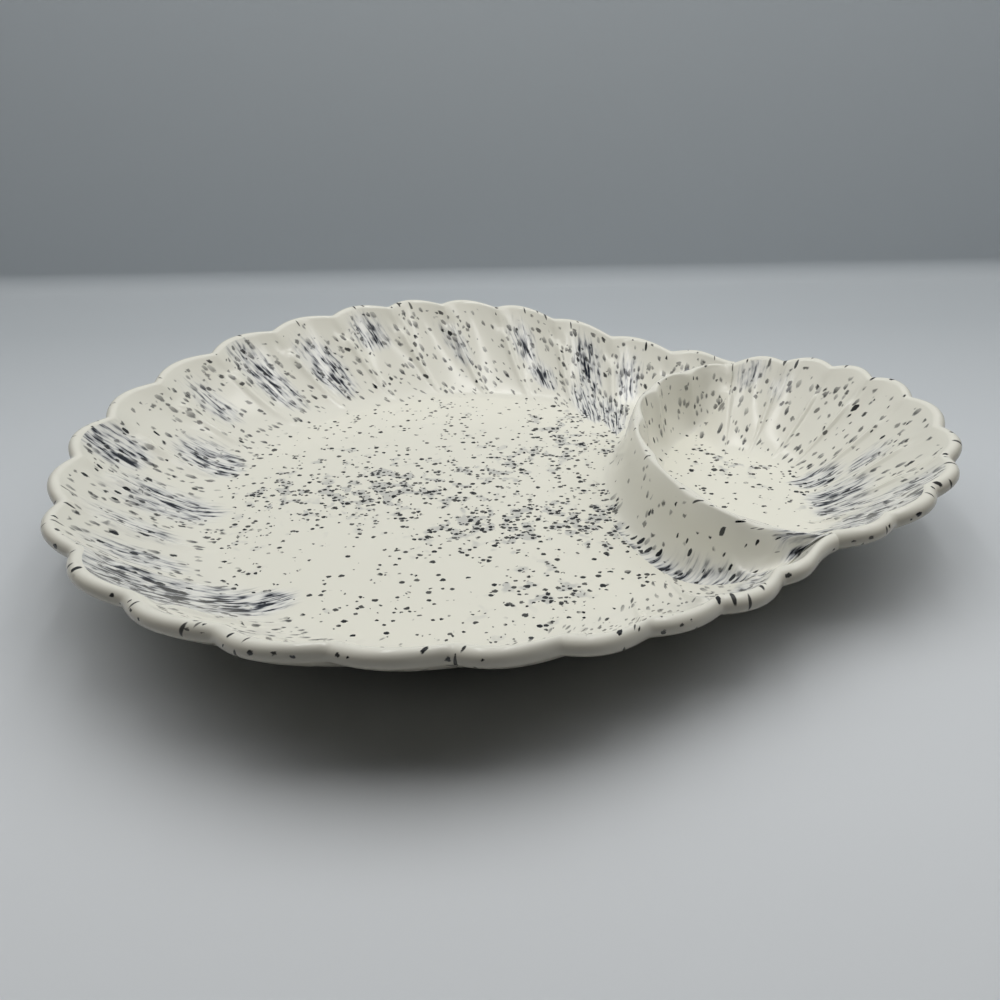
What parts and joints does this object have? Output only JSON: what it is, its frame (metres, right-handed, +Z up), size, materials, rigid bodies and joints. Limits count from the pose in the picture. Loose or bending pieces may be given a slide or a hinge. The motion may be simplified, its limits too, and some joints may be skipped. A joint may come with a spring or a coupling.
{
  "type": "divided serving platter",
  "caption": "Scallop-shell chip-and-dip platter: a wide fluted dish and a small fluted dip bowl behind a curved divider, in speckled cream glaze, on foot rings.",
  "frame": {"origin": "bottom centre of the bounding box, on the table", "axes": "+X along the platter towards the dip bowl, +Y across it, +Z up"},
  "size_m": [0.3378, 0.2788, 0.0456],
  "materials": {
    "glaze": "glossy cream glaze with blue-black speckles",
    "bare_clay": "unglazed, matt"
  },
  "bodies": {
    "root": {"chip_dish": "glaze", "dip_bowl": "glaze", "divider_wall": "glaze", "dish_foot_ring": "bare_clay", "dip_foot_ring": "bare_clay"}
  },
  "joints": []
}
